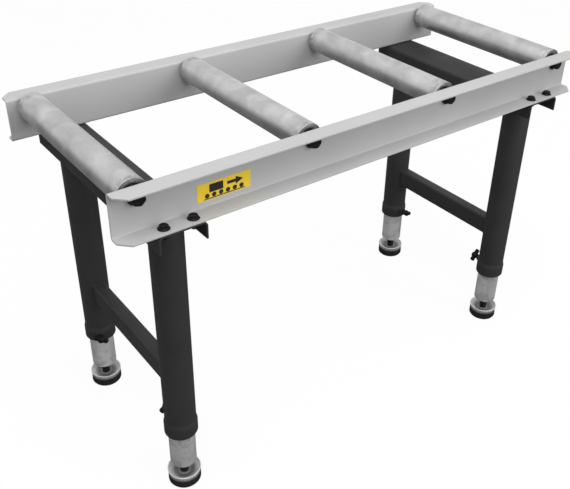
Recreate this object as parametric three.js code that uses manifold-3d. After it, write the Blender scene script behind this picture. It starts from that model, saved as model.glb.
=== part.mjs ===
// Gravity roller conveyor: a table of four free-turning rollers between two channel rails,
// on two leg frames whose round legs telescope and end in levelling feet.
// Millimetres, +Z up, +X along the rails, origin on the floor under the middle of the table.
// "near" is -Y and "far" is +Y, "left" is -X and "right" is +X.

import * as THREE from 'three';
import { mergeVertices } from 'three/addons/utils/BufferGeometryUtils.js';
import Module from 'manifold-3d';

const wasm = await Module();
wasm.setup();

// ---------------------------------------------------------------- driving dimensions

const GAP = 0.3; // left between pieces that touch
const HOLE_CLEARANCE = 0.6; // round the bolts in the sheet metal
const THREAD_CLEARANCE = 0.4; // round the smooth bars that stand for threads
const OVERCUT = 1; // how far a cutting tool runs past the face that it leaves by
const MERGE_DISTANCE = 1e-4; // corners this close are one

const RAIL_LENGTH = 1000;
const RAIL_TOP = 640;
const RAIL_HEIGHT = 75;
const RAIL_THICKNESS = 3;
const RAIL_FLANGE = 34; // from the web's inner face to the flange's free edge
const RAIL_CORNER_CUT = 17; // 45 degree cut on the flanges' corners
const RAIL_BEND = 4.5; // outer radius of the folded edges
const INNER_WIDTH = 370; // between the two webs

const ROLLER_COUNT = 4;
const ROLLER_PITCH = 306;
const ROLLER_RADIUS = 25;
const ROLLER_WALL = 3;
const ROLLER_LENGTH = 360;
const ROLLER_AXIS_DROP = 18; // axle below the rail's top face

const BEARING_WIDTH = 12;
const BEARING_RECESS = 2; // bearing face inside the tube's mouth
const AXLE_RADIUS = 8.5;
const BEARING_BORE = 9;
const AXLE_THREAD_RADIUS = 6.4;
const AXLE_THREAD_DEPTH = 26;

const AXLE_BOLT_RADIUS = 6;
const AXLE_BOLT_REACH = 20; // shank inside the axle
const AXLE_BOLT_FLATS = 19;
const AXLE_BOLT_HEAD = 12;
const AXLE_BOLT_COLLAR = 13.5;
const AXLE_BOLT_COLLAR_THICKNESS = 2.5;

const LEG_X = 405;
const LEG_Y = 161;
const LEG_RADIUS = 27.5;
const LEG_WALL = 3;
const COLLAR_RADIUS = 29.5;
const COLLAR_BOTTOM = 122;
const COLLAR_HEIGHT = 30;
const COLLAR_SLOPE = 2;
const GUIDE_RADIUS = 24;

const CROSS_WIDTH = 80;
const CROSS_HEIGHT = 30;
const CROSS_THICKNESS = 3;
const CROSS_BEND = 8; // outer radius of the folds

const FRAME_BOLT_SPREAD = 24; // each side of the leg's centre line
const FRAME_BOLT_Y = 205;
const FRAME_BOLT_RADIUS = 4;
const FRAME_BOLT_FLATS = 13;
const FRAME_BOLT_HEAD = 6;
const FRAME_BOLT_COLLAR = 9.5;
const FRAME_BOLT_COLLAR_THICKNESS = 2;
const FRAME_NUT_HEIGHT = 7;
const FRAME_BOLT_END = 3; // shank past the nut

const BRACE_WIDTH = 25;
const BRACE_HEIGHT = 40;
const BRACE_WALL = 2;
const BRACE_CENTRE_Z = 236;

const INNER_LEG_RADIUS = 23.5;
const INNER_LEG_WALL = 3;
const INNER_LEG_BOTTOM = 47;
const INNER_LEG_LENGTH = 370;
const INNER_LEG_PLATE = 6;

const CLAMP_Z = 140;
// Degrees that each screw points away from straight inward, towards -X.
const CLAMP_TURN = { left_near: 3, left_far: 22, right_near: 0, right_far: 0 };
const CLAMP_RADIUS = 4;
const CLAMP_NUT_FLATS = 14;
const CLAMP_NUT_OUT = 35; // outer face of the welded nut, from the leg's axis
const CLAMP_HUB_IN = 39;
const CLAMP_HUB_OUT = 53;
const CLAMP_HUB_RADIUS = 6.5;
const CLAMP_BAR_RADIUS = 4.2;
const CLAMP_BAR_LENGTH = 30;
// Degrees that each screw's wings stand turned from upright.
const CLAMP_WING_TURN = { left_near: 60, left_far: 59, right_near: 38, right_far: 69 };

const SPINDLE_RADIUS = 8;
const SPINDLE_TOP = 100;
const SPINDLE_BOSS = 4; // flat ring round the spindle in the cup
const CUP_RADIUS = 30;
const CUP_BOTTOM = 15;
const CUP_TOP = 27;
const CUP_RIM = 2;
const CUP_DISH_Z = 18;
const PAD_RADIUS = 29.4;
const PAD_CHAMFER = 1;

// Sides of the polygons that stand for round shapes.
const TUBE_SIDES = 24;
const BAR_SIDES = 12;
const FOLD_STEPS = 3; // in each folded edge

const LABEL_LENGTH = 93;
const LABEL_HEIGHT = 29;
const LABEL_THICKNESS = 0.6;
const LABEL_X = -317;
const LABEL_Z = 592.5;

// ---------------------------------------------------------------- worked-out places

const WEB_INNER_Y = INNER_WIDTH / 2;
const WEB_OUTER_Y = WEB_INNER_Y + RAIL_THICKNESS;
const FLANGE_EDGE_Y = WEB_INNER_Y + RAIL_FLANGE;
const RAIL_BOTTOM = RAIL_TOP - RAIL_HEIGHT;
const AXLE_Z = RAIL_TOP - ROLLER_AXIS_DROP;
const CROSS_TOP = RAIL_BOTTOM - GAP;
const CROSS_UNDERSIDE = CROSS_TOP - CROSS_THICKNESS;
const LEG_TOP = CROSS_UNDERSIDE - GAP;
const ROLLER_X = Array.from(
  { length: ROLLER_COUNT },
  (_, i) => (i - (ROLLER_COUNT - 1) / 2) * ROLLER_PITCH,
);
const ENDS = [
  { name: 'left', sign: -1 },
  { name: 'right', sign: 1 },
];
const SIDES = [
  { name: 'near', sign: -1 },
  { name: 'far', sign: 1 },
];

// ---------------------------------------------------------------- finishes

const finish = (color, roughness, metalness) => ({ color, roughness, metalness });
const RAIL_PAINT = finish(0xb9babb, 0.5, 0.1);
const FRAME_PAINT = finish(0x2b2b2c, 0.5, 0.1);
const ZINC = finish(0xb4b6b8, 0.4, 0.85);
const BRIGHT_STEEL = finish(0x8d8f92, 0.35, 0.9);
const BLACK_STEEL = finish(0x141415, 0.45, 0.6);
const RUBBER = finish(0x1a1a1b, 0.85, 0);
const YELLOW_FILM = finish(0xe3bf3a, 0.45, 0);

// ---------------------------------------------------------------- solid helpers

// A closed geometry as a manifold solid: shared corners merged, empty triangles dropped.
function toSolid(geometry) {
  const bare = geometry.clone();
  bare.deleteAttribute('normal');
  bare.deleteAttribute('uv');
  const merged = mergeVertices(bare, MERGE_DISTANCE);
  const corners = merged.index.array;
  const kept = [];
  for (let i = 0; i < corners.length; i += 3) {
    const [a, b, c] = corners.slice(i, i + 3);
    if (a !== b && b !== c && c !== a) {
      kept.push(a, b, c);
    }
  }
  return new wasm.Manifold(new wasm.Mesh({
    numProp: 3,
    vertProperties: new Float32Array(merged.attributes.position.array),
    triVerts: new Uint32Array(kept),
  }));
}

function toGeometry(solid) {
  const mesh = solid.getMesh();
  const geometry = new THREE.BufferGeometry();
  geometry.setAttribute('position', new THREE.BufferAttribute(mesh.vertProperties, 3));
  geometry.setIndex(new THREE.BufferAttribute(mesh.triVerts, 1));
  geometry.computeVertexNormals();
  return geometry;
}

const join = (first, ...others) => others.reduce((whole, next) => whole.add(next), first);
const cut = (first, ...others) => others.reduce((whole, next) => whole.subtract(next), first);

// A turned shape about +Z from [radius, z] points; a ring's outline closes on itself.
function turned(points, segments) {
  const outline = points.map(([radius, z]) => new THREE.Vector2(radius, z));
  if (points[0][0] > 0) {
    outline.push(outline[0].clone());
  }
  return toSolid(new THREE.LatheGeometry(outline, segments).rotateX(Math.PI / 2));
}

// A round bar or a six-sided bar about +Z, from z = from to z = to.
function bar(radius, from, to, segments) {
  const geometry = new THREE.CylinderGeometry(radius, radius, to - from, segments);
  geometry.rotateX(Math.PI / 2).translate(0, 0, (from + to) / 2);
  return toSolid(geometry);
}

const hexBar = (flats, from, to) => bar(flats / Math.sqrt(3), from, to, 6);

// The tool that cuts a bolt's hole through a sheet from z = from to z = to.
const boltHole = (boltRadius, from, to) => (
  bar(boltRadius + HOLE_CLEARANCE, from - OVERCUT, to + OVERCUT, BAR_SIDES)
);

function box(x, y, z, centre) {
  return toSolid(new THREE.BoxGeometry(x, y, z).translate(...centre));
}

// A shape drawn in (y, z) and carried along X over the length, centred on x = 0.
function carriedAlongX(shape, length) {
  const geometry = new THREE.ExtrudeGeometry(shape, {
    depth: length,
    bevelEnabled: false,
    curveSegments: FOLD_STEPS,
  });
  geometry.translate(0, 0, -length / 2);
  geometry.applyMatrix4(new THREE.Matrix4().makeBasis(
    new THREE.Vector3(0, 1, 0),
    new THREE.Vector3(0, 0, 1),
    new THREE.Vector3(1, 0, 0),
  ));
  return toSolid(geometry);
}

// The rotation that lays +Z along a side's outward direction (-Y near, +Y far).
const outwardTurn = (side) => [side.sign * -90, 0, 0];

// ---------------------------------------------------------------- the assembly

const conveyor = new THREE.Group();

function addPart(name, solid, look, parent = conveyor) {
  const mesh = new THREE.Mesh(toGeometry(solid), new THREE.MeshStandardMaterial(look));
  mesh.name = name;
  parent.add(mesh);
  return mesh;
}

// A folded channel's outline: web against y = 0, flanges towards +y, z from 0 to the height.
function channelOutline(height, flange, thickness, bend) {
  const inner = bend - thickness;
  const shape = new THREE.Shape();
  shape.moveTo(flange, 0);
  shape.lineTo(flange, thickness);
  shape.lineTo(thickness + inner, thickness);
  shape.absarc(bend, bend, inner, -Math.PI / 2, -Math.PI, true);
  shape.lineTo(thickness, height - bend);
  shape.absarc(bend, height - bend, inner, Math.PI, Math.PI / 2, true);
  shape.lineTo(flange, height - thickness);
  shape.lineTo(flange, height);
  shape.lineTo(bend, height);
  shape.absarc(bend, height - bend, bend, Math.PI / 2, Math.PI, false);
  shape.lineTo(0, bend);
  shape.absarc(bend, bend, bend, Math.PI, Math.PI * 1.5, false);
  shape.closePath();
  return shape;
}

// The near rail and the far rail are one shape, turned half way round for the other side.
function sideRail() {
  const outline = channelOutline(RAIL_HEIGHT, RAIL_FLANGE, RAIL_THICKNESS, RAIL_BEND);
  const cutSide = RAIL_CORNER_CUT * Math.SQRT2;
  let rail = carriedAlongX(outline, RAIL_LENGTH);
  for (const end of ENDS) {
    const corner = box(cutSide, cutSide, 2 * RAIL_HEIGHT, [0, 0, 0])
      .rotate([0, 0, 45])
      .translate([end.sign * RAIL_LENGTH / 2, RAIL_FLANGE, RAIL_HEIGHT / 2]);
    rail = rail.subtract(corner);
    for (const shift of [-FRAME_BOLT_SPREAD, FRAME_BOLT_SPREAD]) {
      const hole = boltHole(FRAME_BOLT_RADIUS, 0, RAIL_THICKNESS)
        .translate([end.sign * LEG_X + shift, FRAME_BOLT_Y - WEB_INNER_Y, 0]);
      rail = rail.subtract(hole);
    }
  }
  for (const x of ROLLER_X) {
    const hole = boltHole(AXLE_BOLT_RADIUS, 0, RAIL_THICKNESS)
      .rotate([-90, 0, 0])
      .translate([x, 0, RAIL_HEIGHT - ROLLER_AXIS_DROP]);
    rail = rail.subtract(hole);
  }
  return rail;
}

const rail = sideRail();
for (const side of SIDES) {
  const mesh = addPart(`side_rail_${side.name}`, rail, RAIL_PAINT);
  mesh.position.set(0, side.sign * WEB_INNER_Y, RAIL_BOTTOM);
  mesh.rotation.z = side.sign < 0 ? Math.PI : 0;
}

// ---------------------------------------------------------------- rollers

const tube = turned([
  [ROLLER_RADIUS - ROLLER_WALL, -ROLLER_LENGTH / 2],
  [ROLLER_RADIUS, -ROLLER_LENGTH / 2],
  [ROLLER_RADIUS, ROLLER_LENGTH / 2],
  [ROLLER_RADIUS - ROLLER_WALL, ROLLER_LENGTH / 2],
], TUBE_SIDES);

const bearingOuter = ROLLER_LENGTH / 2 - BEARING_RECESS;
const bearing = turned([
  [BEARING_BORE, bearingOuter - BEARING_WIDTH],
  [ROLLER_RADIUS - ROLLER_WALL - GAP, bearingOuter - BEARING_WIDTH],
  [ROLLER_RADIUS - ROLLER_WALL - GAP, bearingOuter],
  [BEARING_BORE, bearingOuter],
], TUBE_SIDES);

const axleEnd = INNER_WIDTH / 2 - GAP;
const axle = turned([
  [0, AXLE_THREAD_DEPTH - axleEnd],
  [AXLE_THREAD_RADIUS, AXLE_THREAD_DEPTH - axleEnd],
  [AXLE_THREAD_RADIUS, -axleEnd],
  [AXLE_RADIUS, -axleEnd],
  [AXLE_RADIUS, axleEnd],
  [AXLE_THREAD_RADIUS, axleEnd],
  [AXLE_THREAD_RADIUS, axleEnd - AXLE_THREAD_DEPTH],
  [0, axleEnd - AXLE_THREAD_DEPTH],
], BAR_SIDES);

const boltSeat = WEB_OUTER_Y + GAP;
const collarFace = boltSeat + AXLE_BOLT_COLLAR_THICKNESS;
const axleBolt = join(
  bar(AXLE_BOLT_RADIUS, WEB_INNER_Y - AXLE_BOLT_REACH, collarFace, BAR_SIDES),
  bar(AXLE_BOLT_COLLAR, boltSeat, collarFace, BAR_SIDES),
  hexBar(AXLE_BOLT_FLATS, boltSeat, boltSeat + AXLE_BOLT_HEAD),
);

ROLLER_X.forEach((x, index) => {
  const roller = new THREE.Group();
  roller.position.set(x, 0, AXLE_Z);
  conveyor.add(roller);
  const number = index + 1;
  addPart(`roller_tube_${number}`, tube.rotate([90, 0, 0]), ZINC, roller);
  addPart(`roller_axle_${number}`, axle.rotate([90, 0, 0]), BRIGHT_STEEL, roller);
  for (const side of SIDES) {
    const turn = outwardTurn(side);
    addPart(`roller_bearing_${side.name}_${number}`, bearing.rotate(turn), BRIGHT_STEEL, roller);
    addPart(`axle_bolt_${side.name}_${number}`, axleBolt.rotate(turn), BLACK_STEEL, roller);
  }
});

// ---------------------------------------------------------------- leg frames

// An inverted U channel along Y with two bolt holes near each end.
function crossMember() {
  const outline = new THREE.Shape();
  const half = CROSS_WIDTH / 2;
  const inner = CROSS_BEND - CROSS_THICKNESS;
  outline.moveTo(-half, -CROSS_HEIGHT);
  outline.lineTo(-half + CROSS_THICKNESS, -CROSS_HEIGHT);
  outline.lineTo(-half + CROSS_THICKNESS, -CROSS_BEND);
  outline.absarc(-half + CROSS_BEND, -CROSS_BEND, inner, Math.PI, Math.PI / 2, true);
  outline.absarc(half - CROSS_BEND, -CROSS_BEND, inner, Math.PI / 2, 0, true);
  outline.lineTo(half - CROSS_THICKNESS, -CROSS_HEIGHT);
  outline.lineTo(half, -CROSS_HEIGHT);
  outline.absarc(half - CROSS_BEND, -CROSS_BEND, CROSS_BEND, 0, Math.PI / 2, false);
  outline.absarc(-half + CROSS_BEND, -CROSS_BEND, CROSS_BEND, Math.PI / 2, Math.PI, false);
  outline.closePath();
  let channel = carriedAlongX(outline, 2 * FLANGE_EDGE_Y).rotate([0, 0, 90]);
  for (const side of SIDES) {
    for (const shift of [-FRAME_BOLT_SPREAD, FRAME_BOLT_SPREAD]) {
      const hole = boltHole(FRAME_BOLT_RADIUS, -CROSS_THICKNESS, 0)
        .translate([shift, side.sign * FRAME_BOLT_Y, 0]);
      channel = channel.subtract(hole);
    }
  }
  return channel;
}

// Outer leg with its collar and welded clamp nut; the nut points along +X before turning.
function outerLeg() {
  const bore = LEG_RADIUS - LEG_WALL;
  const collarTop = COLLAR_BOTTOM + COLLAR_HEIGHT;
  const leg = turned([
    [GUIDE_RADIUS, COLLAR_BOTTOM],
    [COLLAR_RADIUS, COLLAR_BOTTOM],
    [COLLAR_RADIUS, collarTop - COLLAR_SLOPE],
    [LEG_RADIUS, collarTop],
    [LEG_RADIUS, LEG_TOP],
    [bore, LEG_TOP],
    [bore, collarTop + COLLAR_SLOPE],
    [GUIDE_RADIUS, collarTop],
  ], TUBE_SIDES);
  const nut = hexBar(CLAMP_NUT_FLATS, LEG_RADIUS, CLAMP_NUT_OUT);
  const threadRadius = CLAMP_RADIUS + THREAD_CLEARANCE;
  const thread = bar(threadRadius, GUIDE_RADIUS - OVERCUT, CLAMP_NUT_OUT + OVERCUT, BAR_SIDES);
  const alongX = (solid) => solid.rotate([0, 90, 0]).translate([0, 0, CLAMP_Z]);
  return (angle) => cut(
    join(leg, alongX(nut).rotate([0, 0, angle])),
    alongX(thread).rotate([0, 0, angle]),
  );
}

// Wing screw along +X: threaded shank, hub and a cross bar through the hub.
function clampScrew(wingTurn) {
  const hubMiddle = (CLAMP_HUB_IN + CLAMP_HUB_OUT) / 2;
  const shank = bar(CLAMP_RADIUS, INNER_LEG_RADIUS + GAP, hubMiddle, BAR_SIDES);
  const hub = bar(CLAMP_HUB_RADIUS, CLAMP_HUB_IN, CLAMP_HUB_OUT, BAR_SIDES);
  const wings = bar(CLAMP_BAR_RADIUS, -CLAMP_BAR_LENGTH / 2, CLAMP_BAR_LENGTH / 2, BAR_SIDES)
    .translate([hubMiddle, 0, 0]);
  return join(shank.rotate([0, 90, 0]), hub.rotate([0, 90, 0]), wings.rotate([wingTurn, 0, 0]));
}

// Rectangular tube along Y, its ends cut to the legs' round walls.
function brace() {
  const length = 2 * LEG_Y;
  const outside = box(BRACE_WIDTH, length, BRACE_HEIGHT, [0, 0, 0]);
  const hollow = box(
    BRACE_WIDTH - 2 * BRACE_WALL,
    length + 2 * OVERCUT,
    BRACE_HEIGHT - 2 * BRACE_WALL,
    [0, 0, 0],
  );
  const legs = SIDES.map((side) => bar(LEG_RADIUS + GAP, -BRACE_HEIGHT, BRACE_HEIGHT, TUBE_SIDES)
    .translate([0, side.sign * LEG_Y, 0]));
  return cut(outside, hollow, ...legs);
}

const SPINDLE_BORE = SPINDLE_RADIUS + THREAD_CLEARANCE;
const innerLeg = turned([
  [SPINDLE_BORE, INNER_LEG_BOTTOM],
  [INNER_LEG_RADIUS, INNER_LEG_BOTTOM],
  [INNER_LEG_RADIUS, INNER_LEG_BOTTOM + INNER_LEG_LENGTH],
  [INNER_LEG_RADIUS - INNER_LEG_WALL, INNER_LEG_BOTTOM + INNER_LEG_LENGTH],
  [INNER_LEG_RADIUS - INNER_LEG_WALL, INNER_LEG_BOTTOM + INNER_LEG_PLATE],
  [SPINDLE_BORE, INNER_LEG_BOTTOM + INNER_LEG_PLATE],
], TUBE_SIDES);

const levellingFoot = turned([
  [0, CUP_BOTTOM],
  [CUP_RADIUS, CUP_BOTTOM],
  [CUP_RADIUS, CUP_TOP],
  [CUP_RADIUS - CUP_RIM, CUP_TOP],
  [SPINDLE_RADIUS + SPINDLE_BOSS, CUP_DISH_Z],
  [SPINDLE_RADIUS, CUP_DISH_Z],
  [SPINDLE_RADIUS, SPINDLE_TOP],
  [0, SPINDLE_TOP],
], TUBE_SIDES);

const rubberPad = turned([
  [0, 0],
  [PAD_RADIUS - PAD_CHAMFER, 0],
  [PAD_RADIUS, PAD_CHAMFER],
  [PAD_RADIUS, CUP_BOTTOM - GAP],
  [0, CUP_BOTTOM - GAP],
], TUBE_SIDES);

// Flanged bolt from above with its nut under the cross member, about +Z.
const frameBoltSeat = RAIL_BOTTOM + RAIL_THICKNESS + GAP;
const frameBoltCollar = frameBoltSeat + FRAME_BOLT_COLLAR_THICKNESS;
const frameNutTop = CROSS_UNDERSIDE - GAP;
const frameBolt = join(
  bar(FRAME_BOLT_RADIUS, frameNutTop - FRAME_NUT_HEIGHT - FRAME_BOLT_END, frameBoltCollar, BAR_SIDES),
  bar(FRAME_BOLT_COLLAR, frameBoltSeat, frameBoltCollar, BAR_SIDES),
  hexBar(FRAME_BOLT_FLATS, frameBoltSeat, frameBoltSeat + FRAME_BOLT_HEAD),
  hexBar(FRAME_BOLT_FLATS, frameNutTop - FRAME_NUT_HEIGHT, frameNutTop),
);

const cross = crossMember();
const legAt = outerLeg();
const braceTube = brace();

for (const end of ENDS) {
  const frame = new THREE.Group();
  frame.position.x = end.sign * LEG_X;
  conveyor.add(frame);
  addPart(`cross_member_${end.name}`, cross, FRAME_PAINT, frame).position.z = CROSS_TOP;
  addPart(`leg_brace_${end.name}`, braceTube, FRAME_PAINT, frame).position.z = BRACE_CENTRE_Z;
  for (const side of SIDES) {
    const place = `${end.name}_${side.name}`;
    const inward = -90 * side.sign;
    const clampAngle = inward - side.sign * CLAMP_TURN[place];
    const leg = new THREE.Group();
    leg.position.y = side.sign * LEG_Y;
    frame.add(leg);
    addPart(`outer_leg_${place}`, legAt(clampAngle), FRAME_PAINT, leg);
    addPart(`inner_leg_${place}`, innerLeg, ZINC, leg);
    addPart(`levelling_foot_${place}`, levellingFoot, ZINC, leg);
    addPart(`rubber_pad_${place}`, rubberPad, RUBBER, leg);
    const screw = clampScrew(CLAMP_WING_TURN[place]);
    const clamp = addPart(`clamp_screw_${place}`, screw, BLACK_STEEL, leg);
    clamp.position.z = CLAMP_Z;
    clamp.rotation.z = THREE.MathUtils.degToRad(clampAngle);
    for (const [letter, shift] of [['a', -FRAME_BOLT_SPREAD], ['b', FRAME_BOLT_SPREAD]]) {
      const bolt = addPart(`frame_bolt_${place}_${letter}`, frameBolt, BLACK_STEEL, frame);
      bolt.position.set(shift, side.sign * FRAME_BOLT_Y, 0);
    }
  }
}

// ---------------------------------------------------------------- label

const label = box(LABEL_LENGTH, LABEL_THICKNESS, LABEL_HEIGHT, [0, 0, 0]);
addPart('label_plate', label, YELLOW_FILM).position.set(
  LABEL_X,
  -(WEB_OUTER_Y + GAP + LABEL_THICKNESS / 2),
  LABEL_Z,
);

export default conveyor;
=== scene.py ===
"""Gravity roller conveyor: the visible surfaces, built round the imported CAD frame.

Metres, +Z up, +X along the rails. "near" is -Y and "far" is +Y, "left" is -X and "right" is +X.
Every piece is modelled in place, in the row frame, and rides on the CAD body it belongs to.
"""

import math

import bmesh
import bpy
from mathutils import Matrix, Vector


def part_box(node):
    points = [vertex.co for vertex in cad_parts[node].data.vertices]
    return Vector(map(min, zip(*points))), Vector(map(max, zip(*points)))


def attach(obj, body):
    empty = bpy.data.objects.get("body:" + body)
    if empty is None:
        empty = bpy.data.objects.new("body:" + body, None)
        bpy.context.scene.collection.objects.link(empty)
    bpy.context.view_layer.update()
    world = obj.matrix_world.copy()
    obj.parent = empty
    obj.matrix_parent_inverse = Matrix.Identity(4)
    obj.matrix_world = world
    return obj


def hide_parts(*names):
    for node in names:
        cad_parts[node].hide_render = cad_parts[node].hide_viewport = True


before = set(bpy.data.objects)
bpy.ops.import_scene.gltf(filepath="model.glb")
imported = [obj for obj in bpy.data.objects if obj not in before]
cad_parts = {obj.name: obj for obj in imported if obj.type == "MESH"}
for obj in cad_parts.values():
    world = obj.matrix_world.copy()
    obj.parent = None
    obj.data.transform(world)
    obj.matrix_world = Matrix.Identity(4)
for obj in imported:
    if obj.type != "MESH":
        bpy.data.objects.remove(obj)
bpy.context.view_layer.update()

# ---------------------------------------------------------------- sizes the frame's boxes don't give

MM = 0.001
SHEET = 3 * MM
RAIL_BEND = 4.5 * MM
RAIL_BEND_STEPS = 8
RAIL_CORNER_CUT = 17 * MM
CROSS_BEND = 8 * MM
CROSS_BEND_STEPS = 7
EDGE_ROUND = 0.5 * MM  # bevel on cut sheet edges
SHARP_ANGLE = math.radians(35)  # edges steeper than this are drawn sharp
BEVEL_ANGLE = math.radians(40)
ROLLER_WALL = 3 * MM
ROLLER_STEPS = 96
BEARING_DEPTH = 14 * MM  # from the tube's mouth
BEARING_FACE = 2.6 * MM  # from the tube's mouth
RACE_RADIUS = 18.4 * MM
SHIELD_RADIUS = 16 * MM
INNER_RACE_RADIUS = 11.4 * MM
HOUSING_LIP = 0.8 * MM
HOUSING_SHEET = 1.4 * MM
LEG_RADIUS = 27.5 * MM
LEG_WALL = 3 * MM
COLLAR_HEIGHT = 30 * MM
COLLAR_SHOULDER = 7 * MM
INNER_LEG_WALL = 3 * MM
INNER_LEG_PLATE = 6 * MM
BRACE_ROUND = 3.5 * MM
BRACE_WALL = 2 * MM
SPINDLE_RADIUS = 8 * MM
CUP_HEIGHT = 12 * MM
CUP_DISH_RADIUS = 17 * MM
CUP_BOSS_RADIUS = 10.8 * MM
PAD_GROOVE_HEIGHT = 10 * MM
SPINDLE_PITCH = 2 * MM
CLAMP_HEIGHT = 140 * MM
CLAMP_SCREW_RADIUS = 4 * MM
CLAMP_SCREW_PITCH = 1.25 * MM
CLAMP_NUT_FLATS = 14 * MM
CLAMP_NUT_SEAT = 28.4 * MM  # from the leg's axis, like the next five
CLAMP_NUT_FACE = 35 * MM
CLAMP_TIP = 23.8 * MM
CLAMP_HUB_IN = 39 * MM
CLAMP_HUB_OUT = 53 * MM
CLAMP_MIDDLE = (CLAMP_HUB_IN + CLAMP_HUB_OUT) / 2
WING_REACH = 15 * MM
CLAMP_TURN = {"left_near": 3, "left_far": 22, "right_near": 0, "right_far": 0}  # degrees from inward
WING_TURN = {"left_near": 60, "left_far": 59, "right_near": 38, "right_far": 69}  # degrees from upright
FRAME_BOLT_RADIUS = 4 * MM
FRAME_BOLT_PITCH = 1.25 * MM
FRAME_BOLT_FLATS = 13 * MM
FRAME_BOLT_COLLAR = 2 * MM
FRAME_NUT_HEIGHT = 7 * MM
FRAME_BOLT_TURN = {"a": 20, "b": 47}  # degrees
FRAME_NUT_TURN = math.radians(30)
AXLE_BOLT_FLATS = 19 * MM
AXLE_BOLT_COLLAR = 2.5 * MM
AXLE_BOLT_TURN = math.radians(15)
SEAT_GAP = 0.05 * MM  # under a bolt's collar
COLLAR_LIP = 0.8 * MM
COLLAR_ROOT = 1.2 * MM  # how far a collar's slope runs up inside the head
LEG_WELD_RADIUS = 1.8 * MM
NUT_WELD_RADIUS = 1.5 * MM
BRACE_WELD_RADIUS = 1.3 * MM
BRACE_WELD_STEP = 1.2 * MM
LEG_WELD_STEPS = 120
WELD_SIDES = 10
THREAD_SIDES = 24
THREAD_RISE = (0.0, 0.15, 0.85, 1.0, 0.85, 0.15)  # the ridge's height through one turn
ROUND_STEPS = 72
SMALL_STEPS = 36
AXLE_STEPS = 48
HEX_STEPS = 60
HEX_CHAMFER = math.tan(math.radians(30))

LABEL_CORNER = 1.2 * MM
LABEL_FILM_DEPTH = 0.35 * MM
PICTOGRAM_ROLLERS = (-30, -18, -6, 6, 18, 30)  # millimetres from the label's middle, like the next
PICTOGRAM_ARROW = [(5, 1.6), (20, 1.6), (20, -2.4), (33, 4.2), (20, 10.8), (20, 6.8), (5, 6.8)]
PICTOGRAM_ROLLER_RADIUS = 3.9
PICTOGRAM_ROLLER_Z = -7.2

FLOOR_HALF = 12.0
FLOOR_GLOW = 0.94  # share of the floor's look that no shadow touches
FLOOR_BOUNCE = 0.15
SKY_LIGHT = 0.72
SKY_SEEN = 1.05  # behind the floor, as the camera sees it
# Place, aim, disc diameter and watts.
LIGHTS = {
    "key": ((-0.9, -1.0, 3.4), (0, 0, 0.5), 2.2, 48),
    "fill": ((1.5, -3.4, 1.9), (0, 0, 0.55), 2.2, 52),
}
CAMERA_PLACE = Vector((-0.8512, -1.0534, 1.1644))
CAMERA_YAW, CAMERA_PITCH, CAMERA_ROLL = (math.radians(a) for a in (38.98, 31.12, 1.85))
CAMERA_LENS = 49.5
CAMERA_SHIFT = (-0.0454, -0.0600)

ROLLERS = (1, 2, 3, 4)
SIDES = {"near": -1, "far": 1}
ENDS = {"left": -1, "right": 1}
PLACES = [(end, side) for end in ENDS for side in SIDES]
# How far each rail's outer web face stands from the middle of the table.
WEB_FACE = {
    "near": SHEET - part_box("side_rail_near")[1].y,
    "far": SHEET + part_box("side_rail_far")[0].y,
}


# ---------------------------------------------------------------- mesh helpers


def filleted(corners, steps=5):
    """A closed outline's (x, y, radius) corners as points, each corner rounded by its radius."""
    points = []
    for i, (x, y, radius) in enumerate(corners):
        corner = Vector((x, y))
        if radius <= 0:
            points.append(corner)
            continue
        back = (Vector(corners[i - 1][:2]) - corner).normalized()
        on = (Vector(corners[(i + 1) % len(corners)][:2]) - corner).normalized()
        half = back.angle(on) / 2
        centre = corner + (back + on).normalized() * radius / math.sin(half)
        start = corner + back * radius / math.tan(half) - centre
        end = corner + on * radius / math.tan(half) - centre
        first = math.atan2(start.y, start.x)
        turn = (math.atan2(end.y, end.x) - first + math.pi) % (2 * math.pi) - math.pi
        for step in range(steps + 1):
            angle = first + turn * step / steps
            points.append(centre + radius * Vector((math.cos(angle), math.sin(angle))))
    return points


def arc(centre, radius, first, last, steps):
    """Points along an arc between two angles in degrees."""
    angles = [math.radians(first + (last - first) * i / steps) for i in range(steps + 1)]
    return [(centre[0] + radius * math.cos(a), centre[1] + radius * math.sin(a)) for a in angles]


def join_rings(bm, a, b):
    """Faces between two rings of vertices; a ring of one vertex is a pole."""
    count = max(len(a), len(b))
    for i in range(count):
        k = (i + 1) % count
        if len(a) == 1:
            bm.faces.new((a[0], b[i], b[k]))
        elif len(b) == 1:
            bm.faces.new((a[i], a[k], b[0]))
        else:
            bm.faces.new((a[i], a[k], b[k], b[i]))


def turned(outline, steps=ROUND_STEPS):
    """A turned solid about +Z from (radius, z) points, closed on itself unless it ends on the axis."""
    bm = bmesh.new()
    rings = []
    for radius, z in outline:
        if radius < 1e-7:
            rings.append([bm.verts.new((0, 0, z))])
            continue
        angles = (2 * math.pi * i / steps for i in range(steps))
        rings.append([bm.verts.new((radius * math.cos(a), radius * math.sin(a), z)) for a in angles])
    on_axis = len(rings[0]) == 1 and len(rings[-1]) == 1
    following = rings[1:] if on_axis else rings[1:] + rings[:1]
    for a, b in zip(rings, following):
        join_rings(bm, a, b)
    return bm


def swept(rings, cap="flat"):
    """A solid through rings of 3D points. cap: flat faces, a strip between two skins, or a loop."""
    bm = bmesh.new()
    made = [[bm.verts.new(p) for p in ring] for ring in rings]
    following = made[1:] + made[:1] if cap == "loop" else made[1:]
    for a, b in zip(made, following):
        join_rings(bm, a, b)
    if cap == "flat":
        bm.faces.new(made[0])
        bm.faces.new(made[-1])
    if cap == "strip":
        count = len(made[0])
        for ring in (made[0], made[-1]):
            for i in range(count // 2 - 1):
                bm.faces.new((ring[i], ring[i + 1], ring[count - 2 - i], ring[count - 1 - i]))
    return bm


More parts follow.
